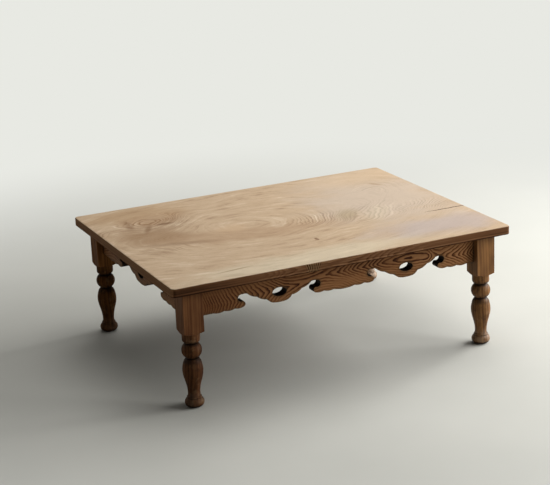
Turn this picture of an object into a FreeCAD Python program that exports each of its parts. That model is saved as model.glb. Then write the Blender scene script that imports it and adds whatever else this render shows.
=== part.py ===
import FreeCAD, Part
import math
import os
import Sketcher
from FreeCAD import Placement, Rotation, Vector

# Low table: a plank top on four turned legs, with pierced and scalloped aprons between the legs.
# X runs along the table, Y from front to back, Z up; the origin is on the floor under the middle.

doc = FreeCAD.newDocument("low_table")
sheet = doc.addObject("Spreadsheet::Sheet", "sizes")

# Driving sizes, in millimetres
SIZES = {
    "table_length": 1000,
    "table_width": 758,
    "table_height": 345,
    "top_thickness": 24,
    "top_corner_radius": 12,
    "top_edge_easing": 2.5,
    "end_overhang": 36.5,
    "side_overhang": 25,
    "leg_blank": 55,
    "shoulder_height": 209,
    "collar_radius": 23.8,
    "waist_radius": 14.6,
    "ankle_radius": 16.4,
    "ball_radius": 26.9,
    "vase_radius": 27.3,
    "foot_radius": 25.7,
    "apron_thickness": 28,
    "apron_setback": 20,
    "apron_height": 81,
    "carving_height": 41,
    "carving_shift": 5.5,
    "eye_length": 41,
    "eye_height": 24,
    "tenon_thickness": 11,
    "tenon_length": 20,
    "tenon_height": 50,
    "tenon_drop": 8,
    "peg_radius": 3,
    "peg_length": 36,
    "rail_width": 32,
    "rail_height": 28,
    "rail_spacing": 380,
    "button_width": 30,
    "button_length": 34,
    "button_height": 18,
    "button_play": 2,
    "tongue_length": 9,
    "screw_radius": 2.2,
    "screw_length": 30,
    "fit_clearance": 0.2,
}
for row, (alias, number) in enumerate(SIZES.items(), start=1):
    sheet.set(f"A{row}", alias)
    sheet.set(f"B{row}", str(number))
    sheet.setAlias(f"B{row}", alias)
doc.recompute()


def size(name):
    """Value of one driving size, read from the sheet."""
    return float(sheet.get(name))


def value(expression):
    """Number that an expression of sheet sizes gives."""
    return float(sheet.evalExpression(expression))


# Places shared by several pieces, as expressions of the driving sizes
TOP_UNDERSIDE = "(sizes.table_height - sizes.top_thickness)"
LEG_X = "(sizes.table_length / 2 - sizes.end_overhang - sizes.leg_blank / 2)"
LEG_Y = "(sizes.table_width / 2 - sizes.side_overhang - sizes.leg_blank / 2)"
LONG_SPAN = f"(2 * {LEG_X} - sizes.leg_blank)"
SHORT_SPAN = f"(2 * {LEG_Y} - sizes.leg_blank)"
APRON_OUTER = "(sizes.leg_blank / 2 - sizes.apron_setback)"
APRON_INNER = f"(sizes.apron_thickness - {APRON_OUTER})"
TENON_LOW = f"({TOP_UNDERSIDE} - sizes.tenon_height - sizes.tenon_drop)"
PEG_INSET = "(sizes.leg_blank / 2 - sizes.tenon_length / 2)"
PEG_HEIGHTS = {
    "first": f"({TENON_LOW} + sizes.tenon_height * 2 / 3)",
    "second": f"({TENON_LOW} + sizes.tenon_height / 3)",
}
TONGUE_THICKNESS = "(sizes.button_height / 2)"

# Depth by which an added block reaches into the block that carries it
ROOT = "1"
QUARTER_TURNS = {"front": 0, "right": 90, "back": 180, "left": 270}


def new_body(label):
    body = doc.addObject("PartDesign::Body", label)
    body.Label = label
    return body


def origin_feature(body, role):
    return next(f for f in body.Origin.OriginFeatures if f.Role == role)


def new_sketch(body, name, role):
    sketch = body.newObject("Sketcher::SketchObject", name)
    sketch.AttachmentSupport = [(origin_feature(body, role), "")]
    sketch.MapMode = "FlatFace"
    return sketch


def centred_rectangle(sketch, width, depth):
    """Rectangle about the sketch origin whose sides follow two expressions."""
    x, y = value(width) / 2, value(depth) / 2
    corners = [Vector(-x, -y, 0), Vector(x, -y, 0), Vector(x, y, 0), Vector(-x, y, 0)]
    for start, end in zip(corners, corners[1:] + corners[:1]):
        sketch.addGeometry(Part.LineSegment(start, end))
    for side in range(4):
        sketch.addConstraint(Sketcher.Constraint("Coincident", side, 2, (side + 1) % 4, 1))
        sketch.addConstraint(Sketcher.Constraint("Vertical" if side % 2 else "Horizontal", side))
    sketch.addConstraint(Sketcher.Constraint("Symmetric", 0, 1, 1, 2, -1, 1))
    for side, kind, length in ((0, "DistanceX", width), (1, "DistanceY", depth)):
        index = sketch.addConstraint(Sketcher.Constraint(kind, side, 1, side, 2, value(length)))
        sketch.setExpression(f"Constraints[{index}]", length)


def place(feature, corner):
    for axis, expression in zip("xyz", corner):
        feature.setExpression(f"Placement.Base.{axis}", expression)


def box(body, kind, name, corner, lengths):
    """Added or cut block with its lowest corner and its three sides as expressions."""
    block = body.newObject(f"PartDesign::{kind}Box", name)
    for side, expression in zip(("Length", "Width", "Height"), lengths):
        block.setExpression(side, expression)
    place(block, corner)
    return block


def bore(body, name, start, direction, radius, depth):
    """Round hole from a start point along a direction."""
    hole = body.newObject("PartDesign::SubtractiveCylinder", name)
    hole.Placement = Placement(Vector(), Rotation(Vector(0, 0, 1), direction))
    hole.setExpression("Radius", radius)
    hole.setExpression("Height", depth)
    place(hole, start)
    return hole


def scallop(start, end, bulge=0.09):
    """Arc between two points that bulges downwards by a share of its length."""
    chord = end - start
    down = Vector(chord.y, -chord.x, 0) if chord.x > 0 else Vector(-chord.y, chord.x, 0)
    return [start, (start + end) / 2 + down * bulge, end]


# Top board
top = new_body("top_board")
outline = new_sketch(top, "top_outline", "XY_Plane")
centred_rectangle(outline, "sizes.table_length", "sizes.table_width")
plank = top.newObject("PartDesign::Pad", "top_plank")
plank.Profile = outline
plank.setExpression("Length", "sizes.top_thickness")
doc.recompute()
corner_edges = [f"Edge{n}" for n, edge in enumerate(plank.Shape.Edges, start=1)
                if abs(edge.tangentAt(edge.FirstParameter).z) > 0.9]
rounded = top.newObject("PartDesign::Fillet", "top_corners")
rounded.Base = (plank, corner_edges)
rounded.setExpression("Radius", "sizes.top_corner_radius")
doc.recompute()
rim_edges = [f"Edge{n}" for n, edge in enumerate(rounded.Shape.Edges, start=1)
             if edge.BoundBox.ZLength < 1e-6]
eased = top.newObject("PartDesign::Fillet", "top_easing")
eased.Base = (rounded, rim_edges)
eased.setExpression("Radius", "sizes.top_edge_easing")
place(top, ("0", "0", TOP_UNDERSIDE))


def leg_profile():
    """Closed outline of the wood turned away: radius across, height up."""
    shoulder, collar = size("shoulder_height"), size("collar_radius")
    waist, ball, vase = size("waist_radius"), size("ball_radius"), size("vase_radius")
    ankle, foot = size("ankle_radius"), size("foot_radius")
    blank_corner = size("leg_blank") / math.sqrt(2)
    shoulder_slope = 0.45
    clear = size("leg_blank")

    def at(radius, share):
        """Point at a radius and a share of the shoulder's height."""
        return Vector(radius, share * shoulder, 0)

    sole, ankle_low, ankle_high = at(0.55 * foot, 0), at(0.72 * foot, 0.12), at(1.04 * ankle, 0.142)
    waist_low, waist_high = at(waist, 0.648), at(waist, 0.847)
    collar_low = at(collar, 0.89)
    collar_top = Vector(collar, shoulder - shoulder_slope * (blank_corner - collar), 0)
    outside_top = Vector(clear, shoulder + shoulder_slope * (clear - blank_corner), 0)
    below = Vector(0, -1, 0)

    vase_curve = Part.BSplineCurve()
    vase_curve.interpolate([ankle_high, at(ankle, 0.19), at((ankle + vase) / 2, 0.345), at(0.94 * vase, 0.414),
                            at(vase, 0.493), at(0.92 * vase, 0.567), at(0.78 * vase, 0.618), waist_low])
    return [
        Part.LineSegment(sole + below, sole),
        Part.Arc(sole, at(foot, 0.066), ankle_low),
        Part.Arc(ankle_low, at(0.77 * foot, 0.131), ankle_high),
        vase_curve,
        Part.Arc(waist_low, at(ball, 0.7475), waist_high),
        Part.Arc(waist_high, at(0.91 * collar, 0.862), collar_low),
        Part.LineSegment(collar_low, collar_top),
        Part.LineSegment(collar_top, outside_top),
        Part.LineSegment(outside_top, Vector(clear, 0, 0) + below),
        Part.LineSegment(Vector(clear, 0, 0) + below, sole + below),
    ]


def build_leg(label, quarter_turn, x_sign, y_sign):
    """Square blank, turned below the shoulder, with one mortise and one peg hole for each apron."""
    leg = new_body(label)
    square = new_sketch(leg, f"{label}_square", "XY_Plane")
    centred_rectangle(square, "sizes.leg_blank", "sizes.leg_blank")
    blank = leg.newObject("PartDesign::Pad", f"{label}_blank")
    blank.Profile = square
    blank.setExpression("Length", TOP_UNDERSIDE)
    turned_away = new_sketch(leg, f"{label}_profile", "XZ_Plane")
    turned_away.addGeometry(leg_profile())
    turning = leg.newObject("PartDesign::Groove", f"{label}_turning")
    turning.Profile = turned_away
    turning.ReferenceAxis = (origin_feature(leg, "Z_Axis"), [""])
    turning.Angle = 360
    gap = "sizes.fit_clearance"
    inner = "sizes.leg_blank / 2"
    depth = f"sizes.tenon_length + {gap}"
    across = f"sizes.tenon_thickness + 2 * {gap}"
    tall = f"sizes.tenon_height + 2 * {gap}"
    low = f"{TENON_LOW} - {gap}"
    half = f"-({across}) / 2"
    bottom = f"{inner} - ({depth})"
    box(leg, "Subtractive", f"{label}_mortise_first", (bottom, half, low), (depth, across, tall))
    box(leg, "Subtractive", f"{label}_mortise_second", (half, bottom, low), (across, depth, tall))
    peg_hole = f"sizes.peg_radius + {gap}"
    bore(leg, f"{label}_peg_first", (PEG_INSET, inner, PEG_HEIGHTS["first"]), Vector(0, -1, 0),
         peg_hole, f"sizes.peg_length + {gap}")
    bore(leg, f"{label}_peg_second", (inner, PEG_INSET, PEG_HEIGHTS["second"]), Vector(-1, 0, 0),
         peg_hole, f"sizes.peg_length + {gap}")
    leg.Placement = Placement(Vector(), Rotation(Vector(0, 0, 1), quarter_turn))
    place(leg, (f"{x_sign} * {LEG_X}", f"{y_sign} * {LEG_Y}", "0"))
    return leg


# Legs, each turned so that its mortises face the neighbouring legs
legs = {}
for name, quarter_turn, x_sign, y_sign in (("front_left", 0, -1, -1), ("front_right", 90, 1, -1),
                                           ("back_right", 180, 1, 1), ("back_left", 270, -1, 1)):
    legs[name] = build_leg(f"leg_{name}", quarter_turn, x_sign, y_sign)


def carving_point(along, share):
    """Point of the carved edge: distance from the middle, height as a share of the carving height."""
    low = value(TOP_UNDERSIDE) - size("apron_height")
    return Vector(along, low + share * size("carving_height"), 0)


def curl(tip, side):
    """Curled end of a cloud piece and the round notch above it, from its lower edge to the notch's roof."""
    def at(back, share):
        return carving_point(tip - side * back * size("carving_height"), share)
    lip, throat, roof = at(0.17, 0.15), at(0.195, 0.525), at(0.195, 0.99)
    return [[lip, at(0, 0.34), throat], [throat, at(0.51, 0.75), roof]]


def lobe(middle, reach):
    """Hanging lobe with two scalloped steps on each side, from left to right."""
    cusps = [(1, 0.97), (0.71, 0.645), (0.39, 0.34), (0.22, 0.045)]
    left = [carving_point(middle - reach * across, share) for across, share in cusps]
    right = [carving_point(middle + reach * across, share) for across, share in reversed(cusps)]
    falling = [scallop(start, end) for start, end in zip(left, left[1:])]
    rising = [scallop(start, end) for start, end in zip(right, right[1:])]
    return falling + [[left[-1], carving_point(middle, 0), right[0]]] + rising


def backwards(arcs):
    return [arc[::-1] for arc in reversed(arcs)]


def bay_roof(first, second):
    """Shallow arch from the end of one curve to the start of the next."""
    return [scallop(first[-1][-1], second[0][0], -0.08)]


def end_piece(tip, scallop_length, span):
    """Cloud piece next to a leg: curl towards the bay, three scallops, then level to the leg's face."""
    head = backwards(curl(tip, -1))
    cusp_heights = (0.14, 0.125, 0.1)
    cusps = [carving_point(tip + scallop_length * (k + 1), share) for k, share in enumerate(cusp_heights)]
    under = [scallop(start, end) for start, end in zip([head[-1][-1]] + cusps, cusps)]
    return head + under, [cusps[-1], carving_point(span / 2, cusp_heights[-1])]


def long_carving(span):
    """Right half of the long apron's edge: half the middle cloud, a lobe, then the end piece."""
    cloud_tip, lobe_middle, end_tip = 0.111 * span, 0.232 * span, 0.352 * span
    scallop_length = 0.037 * span
    head = curl(cloud_tip, 1)
    first = carving_point(cloud_tip - 1.95 * scallop_length, 0.15)
    second = carving_point(cloud_tip - scallop_length, 0.18)
    cloud = [scallop(first, second), scallop(second, head[0][0])] + head
    hanging = lobe(lobe_middle, 0.1125 * span)
    ending, last_line = end_piece(end_tip, scallop_length, span)
    half = cloud + bay_roof(cloud, hanging) + hanging + bay_roof(hanging, ending) + ending
    middle = [Vector(-first.x, first.y, 0), carving_point(0, 0.05), first]
    return middle, half, last_line, [-lobe_middle, lobe_middle]


def short_carving(span):
    """Right half of the short apron's edge: half the middle lobe, then the end piece."""
    hanging = lobe(0, 0.2 * span)
    middle, right_side = hanging[3], hanging[4:]
    ending, last_line = end_piece(0.243 * span, 0.06 * span, span)
    half = right_side + bay_roof(right_side, ending) + ending
    return middle, half, last_line, [0]


def mirrored(points):
    return [Vector(-p.x, p.y, 0) for p in reversed(points)]


def draw_carving(sketch, span, carving, shift):
    """Closed outline of an apron, with an eye hole in each lobe."""
    middle, half, last_line, eyes = carving
    slide = Vector(shift, 0, 0)
    for arc in [mirrored(arc) for arc in reversed(half)] + [middle] + half:
        sketch.addGeometry(Part.Arc(*(point + slide for point in arc)))
    right_cusp, right_foot = last_line
    left_foot, left_cusp = mirrored(last_line)
    top_edge = value(TOP_UNDERSIDE)
    right_head, left_head = Vector(span / 2, top_edge, 0), Vector(-span / 2, top_edge, 0)
    corners = [right_cusp + slide, right_foot, right_head, left_head, left_foot, left_cusp + slide]
    for start, end in zip(corners, corners[1:]):
        sketch.addGeometry(Part.LineSegment(start, end))
    for along in eyes:
        centre = carving_point(along, 0.695) + slide
        sketch.addGeometry(Part.Ellipse(centre, size("eye_length") / 2, size("eye_height") / 2))


def build_apron(label, side, span, carving, button_places, rail_places):
    """Carved board with a tenon at each end and the mortises for what meets its inner face."""
    apron = new_body(label)
    edge = new_sketch(apron, f"{label}_outline", "XZ_Plane")
    # The front carving sits a little right of the middle, as it was cut by hand
    draw_carving(edge, value(span), carving(value(span)), size("carving_shift") if side == "front" else 0)
    board = apron.newObject("PartDesign::Pad", f"{label}_board")
    board.Profile = edge
    board.SideType = "Two sides"
    board.setExpression("Length", APRON_OUTER)
    board.setExpression("Length2", APRON_INNER)
    gap = "sizes.fit_clearance"
    tenon = (f"sizes.tenon_length + {ROOT}", "sizes.tenon_thickness", "sizes.tenon_height")
    half = "-sizes.tenon_thickness / 2"
    far_end = f"-{span} / 2 - sizes.tenon_length"
    box(apron, "Additive", f"{label}_tenon_first", (far_end, half, TENON_LOW), tenon)
    box(apron, "Additive", f"{label}_tenon_second", (f"{span} / 2 - {ROOT}", half, TENON_LOW), tenon)
    peg_place = f"({span} / 2 + sizes.leg_blank / 2 - {PEG_INSET})"
    for order, sign in (("first", "-"), ("second", "")):
        start = (f"{sign}{peg_place}", "sizes.leg_blank / 2", PEG_HEIGHTS[order])
        bore(apron, f"{label}_peg_{order}", start, Vector(0, -1, 0),
             f"sizes.peg_radius + {gap}", "sizes.leg_blank")
    slot_bottom = f"{APRON_INNER} - sizes.tongue_length - {gap}"
    slot_depth = f"sizes.tongue_length + {gap}"
    for number, along in enumerate(button_places, start=1):
        box(apron, "Subtractive", f"{label}_button_slot_{number}",
            (f"{along} - sizes.button_width / 2 - sizes.button_play", slot_bottom,
             f"{TOP_UNDERSIDE} - sizes.button_height - {gap}"),
            ("sizes.button_width + 2 * sizes.button_play", slot_depth, f"{TONGUE_THICKNESS} + 2 * {gap}"))
    for number, along in enumerate(rail_places, start=1):
        box(apron, "Subtractive", f"{label}_rail_mortise_{number}",
            (f"{along} - sizes.rail_width / 4 - {gap}", slot_bottom,
             f"{TOP_UNDERSIDE} - sizes.rail_height * 3 / 4 - {gap}"),
            (f"sizes.rail_width / 2 + 2 * {gap}", slot_depth, f"sizes.rail_height / 2 + 2 * {gap}"))
    apron.Placement = Placement(Vector(), Rotation(Vector(0, 0, 1), QUARTER_TURNS[side]))
    turn = math.radians(QUARTER_TURNS[side])
    place(apron, (f"{round(math.sin(turn))} * {LEG_X}", f"{-round(math.cos(turn))} * {LEG_Y}", "0"))
    return apron


# Aprons; buttons sit clear of the rails and of the legs
LONG_BUTTONS = [f"-{LONG_SPAN} * 0.38", "0", f"{LONG_SPAN} * 0.38"]
SHORT_BUTTONS = [f"-{SHORT_SPAN} / 4", f"{SHORT_SPAN} / 4"]
RAILS = ["-sizes.rail_spacing / 2", "sizes.rail_spacing / 2"]
aprons = {}
for side in QUARTER_TURNS:
    long_side = side in ("front", "back")
    aprons[side] = build_apron(f"apron_{side}", side,
                               LONG_SPAN if long_side else SHORT_SPAN,
                               long_carving if long_side else short_carving,
                               LONG_BUTTONS if long_side else SHORT_BUTTONS,
                               RAILS if long_side else [])

# Cross rails between the long aprons
pieces = [top, *legs.values(), *aprons.values()]
RAIL_LENGTH = f"(2 * {LEG_Y} - 2 * {APRON_INNER})"
for name, along in zip(("left", "right"), RAILS):
    rail = new_body(f"cross_rail_{name}")
    box(rail, "Additive", f"rail_bar_{name}",
        ("-sizes.rail_width / 2", f"-{RAIL_LENGTH} / 2", f"{TOP_UNDERSIDE} - sizes.rail_height"),
        ("sizes.rail_width", RAIL_LENGTH, "sizes.rail_height"))
    box(rail, "Additive", f"rail_tenons_{name}",
        ("-sizes.rail_width / 4", f"-{RAIL_LENGTH} / 2 - sizes.tongue_length",
         f"{TOP_UNDERSIDE} - sizes.rail_height * 3 / 4"),
        ("sizes.rail_width / 2", f"{RAIL_LENGTH} + 2 * sizes.tongue_length", "sizes.rail_height / 2"))
    place(rail, (along, "0", "0"))
    pieces.append(rail)

# Pegs through the apron tenons, driven from the inner faces of the legs
doc.recompute()
CORNERS = {"front_left": ("front_left", "left_front"), "front_right": ("right_front", "front_right"),
           "back_right": ("back_right", "right_back"), "back_left": ("left_back", "back_left")}
for corner, (first_name, second_name) in CORNERS.items():
    for order, peg_name in (("first", first_name), ("second", second_name)):
        inset, inner, height = value(PEG_INSET), size("leg_blank") / 2, value(PEG_HEIGHTS[order])
        start = Vector(inset, inner, height) if order == "first" else Vector(inner, inset, height)
        direction = Vector(0, -1, 0) if order == "first" else Vector(-1, 0, 0)
        peg = doc.addObject("Part::Cylinder", f"peg_{peg_name}")
        peg.Label = f"peg_{peg_name}"
        peg.setExpression("Radius", "sizes.peg_radius")
        peg.setExpression("Height", "sizes.peg_length")
        peg.Placement = legs[corner].Placement * Placement(start, Rotation(Vector(0, 0, 1), direction))
        pieces.append(peg)

# Buttons hooked into the aprons, each with one screw up into the top
HOLE_SETBACK = "(sizes.button_length / 2)"
BUTTON_NAMES = {"front": ("left", "middle", "right"), "back": ("right", "middle", "left"),
                "right": ("front", "back"), "left": ("back", "front")}
screws = []
for side, names in BUTTON_NAMES.items():
    for end_name, along in zip(names, LONG_BUTTONS if len(names) == 3 else SHORT_BUTTONS):
        label = f"button_{side}_{end_name}"
        button = new_body(label)
        box(button, "Additive", f"{label}_block",
            ("-sizes.button_width / 2", "0", "-sizes.button_height"),
            ("sizes.button_width", "sizes.button_length", "sizes.button_height"))
        box(button, "Additive", f"{label}_tongue",
            ("-sizes.button_width / 2", "-sizes.tongue_length", "-sizes.button_height"),
            ("sizes.button_width", f"sizes.tongue_length + {ROOT}", TONGUE_THICKNESS))
        bore(button, f"{label}_hole", ("0", HOLE_SETBACK, "-sizes.button_height"), Vector(0, 0, 1),
             "sizes.screw_radius + sizes.fit_clearance", "sizes.button_height")
        seat = Vector(value(along), value(APRON_INNER), value(TOP_UNDERSIDE))
        button.Placement = aprons[side].Placement * Placement(seat, Rotation())
        pieces.append(button)
        axis_foot = button.Placement.multVec(Vector(0, value(HOLE_SETBACK), -size("button_height")))
        head_height = size("screw_radius")
        shank = doc.addObject("Part::Cylinder", f"{label}_shank")
        shank.setExpression("Radius", "sizes.screw_radius")
        shank.setExpression("Height", "sizes.screw_length")
        head = doc.addObject("Part::Cylinder", f"{label}_head")
        head.setExpression("Radius", "2 * sizes.screw_radius")
        head.setExpression("Height", "sizes.screw_radius")
        head.Placement = Placement(Vector(0, 0, -head_height), Rotation())
        screw = doc.addObject("Part::Fuse", f"{label}_screw")
        screw.Base = shank
        screw.Tool = head
        screw.Placement = Placement(axis_foot, Rotation())
        screws.append(screw)
        pilot_depth = "sizes.screw_length - sizes.button_height + sizes.fit_clearance"
        pilot = top.newObject("PartDesign::SubtractiveCylinder", f"{label}_pilot")
        pilot.setExpression("Radius", "sizes.screw_radius + sizes.fit_clearance")
        pilot.setExpression("Height", pilot_depth)
        pilot.Placement = Placement(Vector(axis_foot.x, axis_foot.y, 0), Rotation())
screw_group = doc.addObject("Part::Compound", "button_screws")
screw_group.Label = "button_screws"
screw_group.Links = screws
pieces.append(screw_group)

doc.recompute()
for item in doc.Objects:
    if "Invalid" in item.State or "Error" in item.State:
        raise RuntimeError(f"{item.Name}: {item.State}")
os.makedirs("parts", exist_ok=True)
for piece in pieces:
    if piece.Shape.isNull() or not piece.Shape.isValid():
        raise RuntimeError(f"{piece.Label}: shape is not valid")
    piece.Shape.exportStep(f"parts/{piece.Label}.step")
    print(piece.Label, len(piece.Shape.Solids), round(piece.Shape.Volume / 1000, 1), "cm3")
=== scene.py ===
"""Low table with a bleached, figured top, scrolled aprons and turned legs, in a plain pale studio."""

import math

import bpy
from mathutils import Matrix, Vector


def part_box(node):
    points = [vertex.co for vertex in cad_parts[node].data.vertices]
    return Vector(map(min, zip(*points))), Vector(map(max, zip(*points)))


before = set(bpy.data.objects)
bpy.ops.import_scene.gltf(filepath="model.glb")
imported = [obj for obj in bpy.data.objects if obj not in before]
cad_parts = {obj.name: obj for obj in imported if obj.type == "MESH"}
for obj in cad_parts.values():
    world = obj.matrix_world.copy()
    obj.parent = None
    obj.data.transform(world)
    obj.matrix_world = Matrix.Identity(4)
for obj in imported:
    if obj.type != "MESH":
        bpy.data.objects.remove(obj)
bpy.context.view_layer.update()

MM = 0.001

# Camera, found by lining up the table's corners with the photograph
CAMERA_PLACE = Vector((-1.8243, -3.8735, 1.6243))
CAMERA_YAW = math.radians(24.768)
CAMERA_PITCH = math.radians(17.387)
CAMERA_ROLL = math.radians(-2.455)
CAMERA_LENS = 103.8
SENSOR_WIDTH = 36.0


def tone(red, green, blue):
    """Colour as seen on a screen, 0 to 255, turned into the linear values that shaders take."""
    def linear(level):
        share = level / 255
        return share / 12.92 if share <= 0.04045 else ((share + 0.055) / 1.055) ** 2.4
    return (linear(red), linear(green), linear(blue), 1.0)


# Studio: background, light from all round, half the floor's width in metres and its fade in millimetres
BACKGROUND = tone(232, 233, 227)
SOFT_LIGHT = 0.08
SOFT_LIGHT_COLOUR = (1.0, 0.97, 0.93, 1.0)
FLOOR_HALF = 12.0
FLOOR_FADE = (800, 2400)

# Lamps: name, place, aim, width, height and power, in metres and watts
LAMPS = (
    ("window_light", (3.2, -0.2, 1.5), (0, 0, 0.2), 2.4, 1.4, 145),
    ("front_light", (2.4, -1.9, 1.3), (0, 0, 0.2), 1.2, 1.2, 42),
    ("overhead_light", (0.8, 0.7, 3.3), (0, 0, 0.3), 3.0, 3.0, 60),
)

BUMP_STRENGTH = 0.8


class Nodes:
    """Short calls for the nodes of one material or world."""

    def __init__(self, owner):
        self.owner = owner
        owner.use_nodes = True
        self.tree = owner.node_tree
        self.tree.nodes.clear()

    def put(self, socket, given):
        if isinstance(given, bpy.types.NodeSocket):
            self.tree.links.new(given, socket)
        else:
            socket.default_value = given

    def node(self, kind, inputs=None, **settings):
        made = self.tree.nodes.new(kind)
        for name, setting in settings.items():
            setattr(made, name, setting)
        for name, given in (inputs or {}).items():
            self.put(made.inputs[name], given)
        return made

    def math(self, operation, *values):
        return self.node("ShaderNodeMath", dict(enumerate(values)), operation=operation).outputs[0]

    def add(self, *values):
        total = values[0]
        for given in values[1:]:
            total = self.math("ADD", total, given)
        return total

    def times(self, *values):
        product = values[0]
        for given in values[1:]:
            product = self.math("MULTIPLY", product, given)
        return product

    def minus(self, first, second):
        return self.math("SUBTRACT", first, second)

    def magnitude(self, given):
        return self.math("ABSOLUTE", given)

    def weigh(self, base, *terms):
        """A base value plus the product of each (weight, value) term."""
        return self.add(base, *(self.times(weight, given) for weight, given in terms))

    def vector(self, operation, *values, scale=None):
        made = self.node("ShaderNodeVectorMath", dict(enumerate(values)), operation=operation)
        if scale is not None:
            made.inputs["Scale"].default_value = scale
        return made.outputs["Value" if operation in ("LENGTH", "DISTANCE") else "Vector"]

    def split(self, vector):
        return self.node("ShaderNodeSeparateXYZ", {0: vector}).outputs[:]

    def join(self, x, y, z):
        return self.node("ShaderNodeCombineXYZ", {0: x, 1: y, 2: z}).outputs[0]

    def length(self, along, across):
        """Distance from the origin of a point on a plane."""
        return self.vector("LENGTH", self.join(along, across, 0.0))

    def line_noise(self, along, cell, detail=2.0):
        """Smooth noise about zero along one value, from -0.5 to 0.5."""
        inputs = {"W": self.math("DIVIDE", along, cell), "Scale": 1.0, "Detail": detail}
        made = self.node("ShaderNodeTexNoise", inputs, noise_dimensions="1D")
        return self.minus(made.outputs["Fac"], 0.5)

    def ease(self, given, low, high):
        """0 below low, 1 above high and smooth between; low above high turns it round."""
        inputs = {"Value": given, "From Min": low, "From Max": high}
        return self.node("ShaderNodeMapRange", inputs, interpolation_type="SMOOTHSTEP").outputs[0]

    def curve(self, given, points):
        """Smooth curve through (position, height) points."""
        first, last = points[0][0], points[-1][0]
        top = max(height for _, height in points)
        inputs = {"Value": given, "From Min": first, "From Max": last}
        share = self.node("ShaderNodeMapRange", inputs).outputs[0]
        made = self.node("ShaderNodeFloatCurve", {"Value": share})
        handles = made.mapping.curves[0].points
        while len(handles) < len(points):
            handles.new(0.5, 0.5)
        for handle, (position, height) in zip(handles, points):
            handle.location = ((position - first) / (last - first), height / top)
        made.mapping.update()
        return self.times(made.outputs[0], top)

    def mix(self, share, first, second, blend="MIX"):
        made = self.node("ShaderNodeMix", data_type="RGBA", blend_type=blend)
        self.put(made.inputs["Factor"], share)
        self.put(made.inputs["A"], first)
        self.put(made.inputs["B"], second)
        return made.outputs["Result"]

    def ramp(self, share, *stops):
        """Colour that passes smoothly through (position, colour) stops."""
        made = self.node("ShaderNodeValToRGB", {"Fac": share})
        made.color_ramp.interpolation = "EASE"
        elements = made.color_ramp.elements
        while len(elements) < len(stops):
            elements.new(0.5)
        for element, (position, colour) in zip(elements, stops):
            element.position = position
            element.color = colour
        return made.outputs["Color"]

    def seen(self):
        """1 for what the camera sees directly, in a mirror or through glass."""
        ray = self.node("ShaderNodeLightPath").outputs
        direct = self.math("MAXIMUM", ray["Is Camera Ray"], ray["Is Glossy Ray"])
        return self.math("MAXIMUM", direct, ray["Is Transmission Ray"])


class Shader(Nodes):
    """Material of one piece. Places on its surface and lengths given to it are in millimetres."""

    def __init__(self, name):
        super().__init__(bpy.data.materials.new(name))
        place = self.node("ShaderNodeTexCoord").outputs["Object"]
        self.place = self.vector("SCALE", place, scale=1 / MM)
        self.x, self.y, self.z = self.split(self.place)
        surface = self.node("ShaderNodeNewGeometry").outputs["Normal"]
        self.normal_x, self.normal_y, self.normal_z = self.split(surface)

    def noise(self, cell, detail=2.0, where=None, rough=0.5):
        """Smooth noise about zero, from -0.5 to 0.5, whose blotches measure cell along x, y and z."""
        share = self.vector("DIVIDE", where or self.place, cell)
        inputs = {"Vector": share, "Scale": 1.0, "Detail": detail, "Roughness": rough}
        return self.minus(self.node("ShaderNodeTexNoise", inputs).outputs["Fac"], 0.5)

    def rings(self, distance, spacing, late_share):
        """Dark late wood of the year rings: rises across the last share of each ring and ends sharply."""
        count = self.math("DIVIDE", distance, spacing)
        across = self.math("FRACT", count)
        strength = self.weigh(0.85, (0.6, self.line_noise(self.math("FLOOR", count), 1.7)))
        rise = self.ease(across, 1 - 1.5 * late_share, 0.9)
        fall = self.ease(across, 1.0, 0.92)
        return self.times(rise, fall, strength)

    def hollow_shade(self, reach):
        """Painted shade: 1 in corners and hollows that are narrower than the reach."""
        inputs = {"Distance": reach * MM}
        open_share = self.node("ShaderNodeAmbientOcclusion", inputs, samples=6).outputs["AO"]
        return self.ease(open_share, 0.9, 0.35)

    def rounded(self, radius, full_turn=0.8):
        """Normals as if each arris were rounded, and a mask of the arrises.

        The mask is 1 where the cosine of the lean is down to full_turn, and 0 on the flat.
        """
        soft = self.node("ShaderNodeBevel", {"Radius": radius * MM}, samples=6).outputs[0]
        true = self.node("ShaderNodeNewGeometry").outputs["True Normal"]
        lean = self.node("ShaderNodeVectorMath", {0: soft, 1: true}, operation="DOT_PRODUCT")
        return soft, self.ease(lean.outputs["Value"], 0.998, full_turn)

    def wear(self, colour, arris, share, cell, pale):
        """Colour rubbed to a pale tone in patches along the arrises."""
        patches = self.ease(self.noise((cell, cell, cell), detail=3), -0.1, 0.25)
        return self.mix(self.times(share, arris, patches), colour, pale)

    def finish(self, colour, roughness, relief, normal, shine, metallic=0.0):
        """Completes the material. The relief is a height that is laid over the normal."""
        bump_inputs = {"Height": self.times(relief, MM), "Distance": 1.0, "Strength": BUMP_STRENGTH,
                       "Normal": normal}
        bump = self.node("ShaderNodeBump", bump_inputs).outputs[0]
        inputs = {"Base Color": colour, "Roughness": roughness, "Normal": bump,
                  "Specular IOR Level": shine, "Metallic": metallic}
        surface = self.node("ShaderNodeBsdfPrincipled", inputs).outputs[0]
        self.node("ShaderNodeOutputMaterial", {"Surface": surface})
        return self.owner


def patch(wood, centre, half_length, half_width, tilt):
    """Soft-edged oval patch on the top, 1 in its middle; tilt is in degrees from the table's length."""
    cosine, sine = math.cos(math.radians(tilt)), math.sin(math.radians(tilt))
    away_x, away_y = wood.minus(wood.x, centre[0]), wood.minus(wood.y, centre[1])
    along = wood.weigh(0, (cosine / half_length, away_x), (sine / half_length, away_y))
    across = wood.weigh(0, (-sine / half_width, away_x), (cosine / half_width, away_y))
    ragged = wood.noise((110, 70, 200), detail=3)
    return wood.ease(wood.weigh(wood.length(along, across), (0.9, ragged)), 1.05, 0.25)


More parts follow.
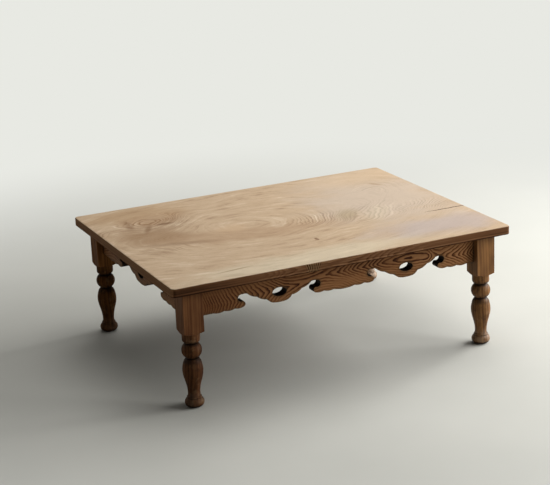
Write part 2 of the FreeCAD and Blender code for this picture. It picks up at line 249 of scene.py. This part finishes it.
def cathedral(wood, position, ring_count, heart_height, rings_above, rings_below):
    """Year rings on a flat-sawn face: noses along the heart line, flanks above and below it.

    ring_count and heart_height are curves along the board. rings_above and rings_below are the rings in
    each millimetre away from the heart line.
    """
    nose_roundness = 0.5
    turnover = 4
    rise = wood.minus(wood.z, wood.curve(position, heart_height))
    upper = wood.ease(rise, -turnover, turnover)
    crowding = wood.weigh(0, (rings_below, wood.minus(1, upper)), (rings_above, upper))
    flank = wood.times(rise, crowding)
    arch = wood.math("SQRT", wood.add(wood.times(flank, flank), nose_roundness ** 2))
    long_bend = wood.noise((70, 70, 30), detail=0)
    short_bend = wood.noise((20, 20, 8), detail=1)
    bend = wood.weigh(long_bend, (0.7, short_bend))
    return wood.add(arch, wood.curve(position, ring_count), bend), flank


# Stains on the bleached top: centre, half length, half width, tilt, colour and share
TOP_STAINS = {
    # The pale right half is partly the wood's tone and partly a painted sheen
    "pale right half, partly painted sheen": ((330, 60), 300, 380, 0, (205, 190, 174), 0.6),
    "brown cloud at the left end": ((-370, 70), 150, 110, -20, (153, 121, 89), 0.65),
    "brown band through the middle": ((-130, -50), 330, 95, -8, (175, 143, 112), 0.5),
    "dark streak in front of the cloud": ((-340, -30), 150, 22, -16, (138, 108, 80), 0.45),
    "dark middle of the left swirl": ((-310, 190), 90, 40, 10, (150, 118, 88), 0.4),
    "pale heart of the oval figure": ((-160, 20), 70, 50, 20, (206, 176, 142), 0.5),
    "grey patch right of the heart": ((180, -35), 70, 45, 55, (172, 154, 124), 0.55),
    "pale patch beside the grey one": ((250, -70), 120, 45, 50, (214, 198, 170), 0.35),
    "pale sapwood along the front": ((-80, -335), 480, 85, 2, (219, 205, 178), 0.65),
    "grey front right corner": ((360, -270), 300, 100, 0, (187, 173, 167), 0.7),
    "warm back right corner": ((400, 290), 220, 110, 0, (214, 188, 156), 0.5),
    "brown back left corner": ((-360, 300), 220, 100, 0, (177, 145, 108), 0.55),
    "thin line by the front": ((-300, -318), 70, 5, 6, (150, 124, 96), 0.6),
    "brown ground of the left swirl": ((-335, 225), 130, 80, 0, (166, 130, 96), 0.4),
    "dash along the left swirl": ((-300, 168), 34, 13, 5, (122, 90, 64), 0.7),
    "slanting dash in the left swirl": ((-362, 140), 50, 13, 62, (130, 98, 70), 0.6),
    "dash across the left swirl": ((-395, 205), 60, 16, 80, (138, 106, 78), 0.5),
    "dash in the right swirl": ((398, 205), 36, 14, -60, (166, 136, 106), 0.5),
}

# A stain is darkened where the wood under it is dark, and its colour is multiplied by no less than this
STAIN_DEPTH = 0.9

# Parts of the top where the figure stands out: centre, half length, half width, tilt and strength
TOP_FIGURE = {
    "right of the heart": ((90, -40), 130, 75, 10, 0.8),
    "middle of the right half": ((260, -60), 150, 110, 30, 0.7),
    "by the split": ((415, -60), 90, 70, 0, 0.8),
    "left swirl": ((-330, 170), 150, 130, 0, 1.2),
    "right swirl": ((400, 220), 120, 130, 0, 0.7),
    "left end": ((-400, -60), 120, 60, 0, 0.6),
}

# Year rings of the top: middle and stretch of the oval figure, then x, y, radius and height of each swirl
TOP_HEART = (-100, 25)
TOP_STRETCH = 1.9
TOP_SWIRLS = ((-325, 165, 75, 80), (385, 195, 85, -70))


def top_rings(wood):
    """Distance across the year rings of the top: an oval figure with two swirls, calm along the front."""
    heart_x, heart_y = TOP_HEART
    calm_front = wood.weigh(0.25, (0.75, wood.ease(wood.y, -280, -120)))
    long_bend = wood.noise((260, 150, 300), detail=0)
    middle_bend = wood.noise((95, 60, 200), detail=1)
    short_bend = wood.noise((30, 24, 100), detail=1)
    bend = wood.weigh(0, (90, long_bend), (34, middle_bend), (7, short_bend))
    along = wood.times(1 / TOP_STRETCH, wood.minus(wood.x, heart_x))
    across = wood.minus(wood.y, heart_y)
    distance = wood.weigh(wood.length(along, across), (bend, calm_front), (0.35, wood.z))
    for swirl_x, swirl_y, radius, height in TOP_SWIRLS:
        apart = wood.vector("DISTANCE", wood.join(wood.x, wood.y, 0.0), (swirl_x, swirl_y, 0))
        distance = wood.weigh(distance, (height, wood.ease(apart, 2 * radius, 0)))
    return distance


def top_face(wood, distance, narrow, late_wood, fibre):
    """Bleached face of the top: figure and clouds, calm towards the right, with stains over them."""
    bold = 0.2
    for *oval, strength in TOP_FIGURE.values():
        bold = wood.weigh(bold, (strength, patch(wood, *oval)))
    figure = wood.weigh(0.08, (0.7, narrow), (-0.5, late_wood))
    broad = wood.line_noise(distance, 36, detail=1)
    flow = wood.join(wood.x, distance, wood.z)
    streak = wood.noise((75, 13, 60), detail=4, where=flow, rough=0.62)
    mottle = wood.noise((70, 38, 60), detail=4, rough=0.6)
    clouds = wood.weigh(streak, (0.6, mottle))
    calm_right = wood.minus(1, wood.times(0.45, wood.ease(wood.x, 40, 300)))
    shade = wood.weigh(0.5, (0.2, broad), (calm_right, clouds), (bold, figure), (0.3, fibre))
    face = wood.ramp(shade, (0.0, tone(144, 116, 89)), (0.5, tone(195, 170, 141)),
                     (1.0, tone(228, 210, 184)))
    paler = wood.weigh(0.5, (0.5, shade))
    for *oval, colour, share in TOP_STAINS.values():
        deep_colour = (STAIN_DEPTH * level for level in colour)
        stain = wood.mix(paler, tone(*deep_colour), tone(*colour))
        face = wood.mix(wood.times(share, patch(wood, *oval)), face, stain)
    return face


def top_split(wood):
    """Split that opens towards the right end of the top: 1 inside it."""
    split_y = -137
    line = wood.weigh(split_y, (8, wood.line_noise(wood.x, 40)))
    ragged_x = wood.weigh(wood.x, (25, wood.line_noise(wood.x, 9)))
    half_width = wood.times(2.2, wood.ease(ragged_x, 345, 440))
    return wood.math("LESS_THAN", wood.magnitude(wood.minus(wood.y, line)), half_width)


def top_knot(wood):
    """Small knot on the top, longer across the board than along it: 1 in its middle."""
    centre_x, centre_y = -3, -196
    along = wood.times(1.5, wood.minus(wood.x, centre_x))
    across = wood.times(0.65, wood.minus(wood.y, centre_y))
    away = wood.weigh(wood.length(along, across), (6, wood.noise((6, 6, 6))))
    return wood.ease(away, 10, 5)


def top_edge(wood, underside, face_height):
    """Dark stained edge of the top: streaks, cathedral figure and a small fan of rays on the front."""
    grain = wood.weigh(wood.z, (5, wood.noise((120, 120, 14), detail=1)))
    streak = wood.weigh(wood.line_noise(grain, 4.5), (0.6, wood.noise((80, 80, 2.5))))
    ring_count = ((-500, 1), (-250, 4), (-160, 8), (-60, 9), (150, 3), (300, 1), (500, 2))
    heart_height = ((-500, 330), (-150, 336), (0, 328), (500, 334))
    count, _ = cathedral(wood, wood.x, ring_count, heart_height, rings_above=0.1, rings_below=0.12)
    near_middle = wood.ease(wood.magnitude(wood.x), 330, 120)
    figure = wood.times(wood.rings(count, spacing=1.0, late_share=0.5), near_middle)

    fan_x, fan_z = -105, 290
    ray_closeness = 52
    angle = wood.math("ARCTAN2", wood.minus(wood.x, fan_x), wood.minus(wood.z, fan_z))
    rays = wood.ease(wood.math("SINE", wood.times(ray_closeness, angle)), -0.5, 0.5)
    on_front = wood.math("LESS_THAN", wood.y, -300)
    fan = wood.times(wood.ease(wood.magnitude(angle), 0.52, 0.28), on_front)

    contrast = wood.weigh(0.4, (0.5, wood.ease(wood.x, -480, -200)))
    towards_left = wood.ease(wood.x, -150, -470)
    towards_right = wood.ease(wood.x, 150, 420)
    # Painted light: the end of the board that faces left is made lighter, as if lit from that side
    lit_left_end = wood.ease(wood.normal_x, -0.4, -0.8)
    # Painted shade: the lower arris of the edge, which faces the floor, is darkened
    shaded_lip = wood.ease(wood.z, underside + 5, underside + 1)
    # Painted highlight: the top few millimetres of the edge are lighter, where the arris catches the light
    lit_brow = wood.ease(wood.z, face_height - 8, face_height - 2)
    shade = wood.weigh(0.73, (contrast, streak), (-0.42, figure), (-0.5, wood.times(fan, rays)),
                       (-0.53, towards_left), (-0.27, towards_right), (0.68, lit_left_end),
                       (-0.45, shaded_lip), (0.15, lit_brow))
    stained = wood.ramp(shade, (0.0, tone(44, 23, 11)), (0.5, tone(102, 69, 45)),
                        (1.0, tone(139, 102, 72)))
    flecks = wood.times(0.7, fan, wood.minus(1, rays))
    return wood.mix(flecks, stained, tone(132, 106, 74))


def top_wood():
    """Bleached flat-sawn top with swirling figure, a split at one end, a knot, and dark stained edges."""
    wood = Shader("top_wood")
    low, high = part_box("top_board")
    underside, face_height = low.z / MM, high.z / MM
    distance = top_rings(wood)
    narrow = wood.line_noise(distance, 9, detail=3)
    late_wood = wood.rings(distance, spacing=6.5, late_share=0.5)
    fibre = wood.noise((70, 1.8, 3), detail=3, rough=0.6)
    open_pores = wood.ease(wood.noise((14, 0.9, 2), detail=1), 0.12, 0.26)
    knot = top_knot(wood)
    split = top_split(wood)

    face = top_face(wood, distance, narrow, late_wood, fibre)
    face = wood.mix(wood.times(0.3, open_pores), face, tone(110, 80, 58))
    face = wood.mix(wood.times(0.7, knot), face, tone(112, 78, 52))
    face = wood.mix(split, face, tone(62, 40, 26))
    facing_up = wood.ease(wood.weigh(wood.normal_z, (0.5, wood.noise((30, 30, 6)))), 0.45, 0.85)
    colour = wood.mix(facing_up, top_edge(wood, underside, face_height), face)
    soft_normal, arris = wood.rounded(1.5)
    # Pale wear along the upper arris, which also stands in as a painted highlight where the arris catches
    # the light
    upper_arris_wear_and_highlight = wood.times(arris, wood.ease(wood.z, face_height - 9, face_height - 3))
    colour = wood.wear(colour, upper_arris_wear_and_highlight, 0.4, cell=40, pale=tone(200, 170, 136))

    roughness = wood.weigh(0.7, (0.15, narrow), (0.15, fibre))
    relief = wood.weigh(0, (0.05, late_wood), (-0.2, open_pores), (-1.6, split), (-0.4, knot), (0.1, fibre))
    return wood.finish(colour, roughness, relief, soft_normal, shine=0.03)


# Figure along an apron: rings passed, height of the heart line, and rings per millimetre above and below it
APRON_RING_COUNT = ((-410, 0), (-300, 13.5), (-215, 20), (-135, 24), (-60, 24.5), (60, 18.5),
                    (180, 12.75), (255, 12.75), (292, 15), (312, 14.5), (410, 8))
APRON_HEART_HEIGHT = ((-410, 266), (-300, 268), (-215, 272), (-135, 278), (-40, 290), (60, 291),
                      (170, 292), (260, 285), (340, 275), (410, 272))
APRON_RINGS_ABOVE = ((-410, 0.06), (-230, 0.09), (-130, 0.13), (-50, 0.12), (120, 0.12),
                     (200, 0.1), (410, 0.1))
APRON_RINGS_BELOW = ((-410, 0.05), (-230, 0.08), (-130, 0.13), (410, 0.13))

# Aprons: side, axis along the board, and the direction and shift of the figure
APRONS = (
    ("front", "x", 1, 0),
    ("back", "x", -1, 90),
    ("left", "y", -1, 150),
    ("right", "y", 1, -120),
)


def apron_wood(side, axis, direction, shift):
    """Stained apron with bold cathedral figure along its length, and dark sawn edges darkened further as
    painted shade.
    """
    wood = Shader(f"apron_wood_{side}")
    place, depth_normal = {"x": (wood.x, wood.normal_y), "y": (wood.y, wood.normal_x)}[axis]
    position = wood.add(wood.times(direction, place), shift)
    rings_above = wood.curve(position, APRON_RINGS_ABOVE)
    rings_below = wood.curve(position, APRON_RINGS_BELOW)
    count, flank = cathedral(wood, position, APRON_RING_COUNT, APRON_HEART_HEIGHT, rings_above, rings_below)
    nose = wood.ease(wood.magnitude(flank), 3.5, 0.6)
    faint_end = wood.ease(position, -230, -350)
    patchy = wood.weigh(0.85, (1.1, wood.noise((60, 60, 25), detail=1)), (-0.42, faint_end))
    bold_nose = wood.weigh(0.45, (0.65, nose))
    late_wood = wood.times(wood.rings(count, spacing=1.0, late_share=0.5), bold_nose, patchy)
    fibre = wood.noise((50, 50, 1.3), detail=3, rough=0.6)
    blotch = wood.noise((120, 120, 60))
    dim_end = wood.ease(position, -220, -390)
    pale_end = wood.ease(position, 180, 330)
    shade = wood.weigh(0.83, (-1.0, late_wood), (0.3, fibre), (0.35, blotch),
                       (-0.24, dim_end), (0.1, pale_end))
    stained = wood.ramp(shade, (0.0, tone(56, 27, 11)), (0.4, tone(96, 58, 31)),
                        (0.75, tone(136, 93, 58)), (1.0, tone(154, 110, 72)))

    # The cut walls are dark end grain and painted shade, nearly black
    sawn = wood.mix(wood.ease(fibre, -0.2, 0.3), tone(22, 13, 8), tone(40, 24, 15))
    face = wood.ease(wood.magnitude(depth_normal), 0.35, 0.75)
    colour = wood.mix(face, sawn, stained)
    _, rim = wood.rounded(12, full_turn=0.95)
    colour = wood.mix(wood.times(0.6, rim, face), colour, tone(84, 66, 42))
    soft_normal, arris = wood.rounded(1.2)
    colour = wood.wear(colour, arris, 0.25, cell=25, pale=tone(165, 120, 80))
    # Painted shade, nearly black, in the apron's corners and hollows
    colour = wood.mix(wood.times(0.7, wood.hollow_shade(12)), colour, tone(24, 14, 8))

    roughness = wood.weigh(0.55, (0.12, late_wood), (0.2, fibre))
    relief = wood.weigh(0, (0.2, late_wood), (0.15, fibre))
    return wood.finish(colour, roughness, relief, soft_normal, shine=0.07)


# Heights on a leg, downwards: from the block to the full turning, and from no pale marks to the foot's pale
# scuffs and painted highlight
LEG_TURNING = (212, 188)
LEG_SCUFFS_AND_HIGHLIGHT = (52, 26)

# Heights of the necks above and below the ball of a leg, and how far dark dirt and painted shade spread from
# them
LEG_NECKS = ((178, 10), (134, 17))

# The stain of the darkest turning is multiplied by this; on the left legs the dark turning is partly painted
# shade
DARK_TURNING = (0.5, 0.46, 0.42, 1)

# Legs: corner, pith from the leg's middle, tint of the stain, darkness of the turning (partly painted shade
# on the left legs) and pale scuffs on the foot (partly a painted highlight)
LEGS = (
    ("front_left", (75, -30), (0.92, 0.93, 1.25, 1), 0.85, 0.05),
    ("front_right", (-72, 34), (1.29, 1.42, 1.5, 1), 0.28, 0.2),
    ("back_right", (60, -40), (1.2, 1.3, 1.45, 1), 0.2, 0.45),
    ("back_left", (-75, 20), (1.2, 1.2, 1.15, 1), 1.0, 0.05),
)


def leg_grain(wood, node, pith):
    """Distance across the year rings of a leg, which curve round a pith outside its blank."""
    low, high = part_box(node)
    centre = (low + high) / (2 * MM)
    heart = (centre.x + pith[0], centre.y + pith[1], 0)
    apart = wood.vector("DISTANCE", wood.join(wood.x, wood.y, 0.0), heart)
    long_bend = wood.noise((50, 50, 200), detail=1)
    short_bend = wood.noise((12, 12, 60), detail=1)
    return wood.weigh(apart, (7, long_bend), (2, short_bend), (0.03, wood.z))


def leg_wood(corner, pith, tint, darkness, scuffed):
    """Leg of straight-grained stained wood; the turning is rubbed pale in patches, partly a painted sheen,
    soiled, and dark at its necks with dirt and painted shade.
    """
    wood = Shader(f"leg_wood_{corner}")
    distance = leg_grain(wood, f"leg_{corner}", pith)
    turning = wood.ease(wood.z, *LEG_TURNING)
    late_wood = wood.rings(distance, spacing=7.0, late_share=0.35)
    fibre = wood.noise((1.4, 1.4, 45), detail=3, rough=0.6)
    blotch = wood.noise((40, 40, 90))
    band = wood.line_noise(distance, 11)
    stripes = wood.weigh(0, (-0.12, late_wood), (0.5, band), (0.25, fibre))
    contrast = wood.weigh(1.0, (0.8, turning))
    shade = wood.weigh(0.6, (contrast, stripes), (0.5, blotch))
    colour = wood.ramp(shade, (0.0, tone(46, 24, 10)), (0.4, tone(88, 54, 27)),
                       (0.75, tone(126, 84, 45)), (1.0, tone(148, 104, 60)))
    colour = wood.mix(1.0, colour, tint, blend="MULTIPLY")
    colour = wood.mix(wood.times(darkness, turning), colour, DARK_TURNING, blend="MULTIPLY")

    # Pale rubbed patches on the turning: wear, and a painted sheen where light glances off it
    rubbed = wood.ease(wood.noise((16, 16, 22), detail=3, rough=0.6), 0.0, 0.3)
    colour = wood.mix(wood.times(0.45, rubbed, turning), colour, tone(150, 122, 90))
    elsewhere = wood.vector("ADD", wood.place, (90, 40, 0))
    soiled = wood.ease(wood.noise((14, 14, 18), detail=3, where=elsewhere), 0.0, 0.25)
    colour = wood.mix(wood.times(0.55, soiled, turning), colour, tone(34, 22, 13))
    # Pale scuffs on the foot; on the back right foot they are mostly a painted highlight of its lit side
    scuffs = wood.times(wood.ease(wood.z, *LEG_SCUFFS_AND_HIGHLIGHT), wood.ease(wood.noise((18, 18, 14)), -0.3, 0.1))
    colour = wood.mix(wood.times(scuffed, scuffs), colour, tone(200, 182, 162))
    soft_normal, arris = wood.rounded(1.2)
    colour = wood.wear(colour, arris, 0.35, cell=25, pale=tone(165, 122, 80))
    patchy = wood.ease(wood.noise((22, 22, 14)), -0.3, 0.1)
    # Dark patches at the necks: dirt, and painted shade over the top and lower half of the ball
    for neck_height, spread in LEG_NECKS:
        away = wood.magnitude(wood.minus(wood.z, neck_height))
        dirt_and_shade_near_neck = wood.ease(away, spread, 0.3 * spread)
        colour = wood.mix(wood.times(0.8, patchy, dirt_and_shade_near_neck), colour, tone(30, 19, 12))
    # Painted shade, nearly black, in the leg's corners, grooves and hollows
    colour = wood.mix(wood.times(0.9, wood.hollow_shade(17)), colour, tone(20, 12, 7))

    roughness = wood.weigh(0.52, (0.12, late_wood), (0.2, fibre))
    relief = wood.weigh(0, (0.2, late_wood), (0.15, fibre))
    shine = 0.02 + 0.2 * (1 - darkness)
    return wood.finish(colour, roughness, relief, soft_normal, shine)


def inner_wood():
    """Unstained softwood of the rails and buttons, greyed with age."""
    wood = Shader("inner_wood")
    bend = wood.noise((80, 80, 20), detail=1)
    distance = wood.weigh(wood.z, (6, bend), (0.15, wood.x))
    late_wood = wood.rings(distance, spacing=4.0, late_share=0.4)
    fibre = wood.noise((30, 30, 1.2), detail=3, rough=0.6)
    blotch = wood.noise((60, 60, 60))
    shade = wood.weigh(0.6, (-0.4, late_wood), (0.4, fibre), (0.3, blotch))
    colour = wood.ramp(shade, (0.0, tone(84, 58, 38)), (0.5, tone(138, 104, 72)),
                       (1.0, tone(170, 134, 98)))
    soft_normal, _ = wood.rounded(1.0)
    roughness = wood.weigh(0.62, (0.2, fibre))
    return wood.finish(colour, roughness, wood.times(0.2, late_wood), soft_normal, shine=0.3)


def peg_wood():
    """End grain of the pegs, darker than the legs round them."""
    wood = Shader("peg_wood")
    speck = wood.noise((0.8, 0.8, 0.8))
    blotch = wood.noise((6, 6, 6))
    shade = wood.weigh(0.5, (1.2, speck), (0.5, blotch))
    colour = wood.ramp(shade, (0.1, tone(46, 28, 17)), (0.9, tone(104, 70, 46)))
    soft_normal, _ = wood.rounded(0.6)
    roughness = wood.weigh(0.55, (0.3, speck))
    return wood.finish(colour, roughness, wood.times(0.3, speck), soft_normal, shine=0.2)


def screw_steel():
    """Dull steel with brown tarnish."""
    steel = Shader("screw_steel")
    tarnish = steel.ease(steel.noise((2.5, 2.5, 2.5), detail=3), -0.1, 0.2)
    colour = steel.mix(tarnish, tone(150, 148, 142), tone(96, 72, 54))
    soft_normal, _ = steel.rounded(0.4)
    roughness = steel.weigh(0.35, (0.3, tarnish))
    relief = steel.times(0.1, tarnish)
    return steel.finish(colour, roughness, relief, soft_normal, shine=0.5, metallic=0.9)


def dress(node, material):
    """Gives a node of the table its material."""
    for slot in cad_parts[node].material_slots:
        slot.material = material


def dress_all(start, material):
    """Gives every node whose name has this start the same material."""
    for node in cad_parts:
        if node.startswith(start):
            dress(node, material)


dress("top_board", top_wood())
for side, *figure in APRONS:
    dress(f"apron_{side}", apron_wood(side, *figure))
for corner, *wood_kind in LEGS:
    dress(f"leg_{corner}", leg_wood(corner, *wood_kind))
hidden_wood = inner_wood()
dress_all("cross_rail", hidden_wood)
dress_all("button", hidden_wood)
dress_all("peg", peg_wood())
# The screws come last, because their name starts like the buttons'
dress_all("button_screws", screw_steel())


def make_floor():
    """Wide plain floor that keeps the shadow by the table and fades to the background further off."""
    half = FLOOR_HALF
    mesh = bpy.data.meshes.new("floor")
    corners = [(-half, -half, 0), (half, -half, 0), (half, half, 0), (-half, half, 0)]
    mesh.from_pydata(corners, [], [(0, 1, 2, 3)])
    floor = bpy.data.objects.new("floor", mesh)
    bpy.context.scene.collection.objects.link(floor)
    ground = Shader("floor_paint")
    mottle = ground.noise((400, 400, 400), detail=3)
    colour = ground.mix(ground.add(0.5, mottle), tone(192, 192, 184), tone(206, 205, 197))
    roughness = ground.weigh(0.7, (0.1, mottle))
    inputs = {"Base Color": colour, "Roughness": roughness, "Specular IOR Level": 0.2}
    lit = ground.node("ShaderNodeBsdfPrincipled", inputs).outputs[0]
    pale = ground.node("ShaderNodeEmission", {"Color": BACKGROUND}).outputs[0]
    far_off = ground.ease(ground.length(ground.x, ground.y), *FLOOR_FADE)
    fade = ground.times(ground.seen(), far_off)
    surface = ground.node("ShaderNodeMixShader", {0: fade, 1: lit, 2: pale}).outputs[0]
    ground.node("ShaderNodeOutputMaterial", {"Surface": surface})
    mesh.materials.append(ground.owner)


def make_light(name, place, aim, width, height, power):
    """Soft white rectangular lamp."""
    lamp = bpy.data.lights.new(name, "AREA")
    lamp.shape = "RECTANGLE"
    lamp.size, lamp.size_y = width, height
    lamp.energy = power
    holder = bpy.data.objects.new(name, lamp)
    bpy.context.scene.collection.objects.link(holder)
    holder.location = place
    holder.rotation_euler = (Vector(aim) - Vector(place)).to_track_quat("-Z", "Y").to_euler()


def make_world():
    """Even soft light from all round, paler where it is seen as the background."""
    world = bpy.data.worlds.new("studio")
    bpy.context.scene.world = world
    sky = Nodes(world)
    soft_inputs = {"Color": SOFT_LIGHT_COLOUR, "Strength": SOFT_LIGHT}
    soft = sky.node("ShaderNodeBackground", soft_inputs).outputs[0]
    pale = sky.node("ShaderNodeBackground", {"Color": BACKGROUND}).outputs[0]
    surface = sky.node("ShaderNodeMixShader", {0: sky.seen(), 1: soft, 2: pale}).outputs[0]
    sky.node("ShaderNodeOutputWorld", {"Surface": surface})


def make_camera():
    """Camera at the photograph's place and angle."""
    camera = bpy.data.objects.new("camera", bpy.data.cameras.new("camera"))
    bpy.context.scene.collection.objects.link(camera)
    camera.data.sensor_width = SENSOR_WIDTH
    camera.data.lens = CAMERA_LENS
    ahead = Vector((math.sin(CAMERA_YAW) * math.cos(CAMERA_PITCH),
                    math.cos(CAMERA_YAW) * math.cos(CAMERA_PITCH),
                    -math.sin(CAMERA_PITCH)))
    level = Vector((math.cos(CAMERA_YAW), -math.sin(CAMERA_YAW), 0))
    above = level.cross(ahead)
    right = level * math.cos(CAMERA_ROLL) + above * math.sin(CAMERA_ROLL)
    up = above * math.cos(CAMERA_ROLL) - level * math.sin(CAMERA_ROLL)
    turn = Matrix((right, up, -ahead)).transposed()
    camera.matrix_world = Matrix.Translation(CAMERA_PLACE) @ turn.to_4x4()
    bpy.context.scene.camera = camera


make_floor()
for lamp_settings in LAMPS:
    make_light(*lamp_settings)
make_world()
make_camera()
bpy.context.scene.view_settings.view_transform = "Standard"
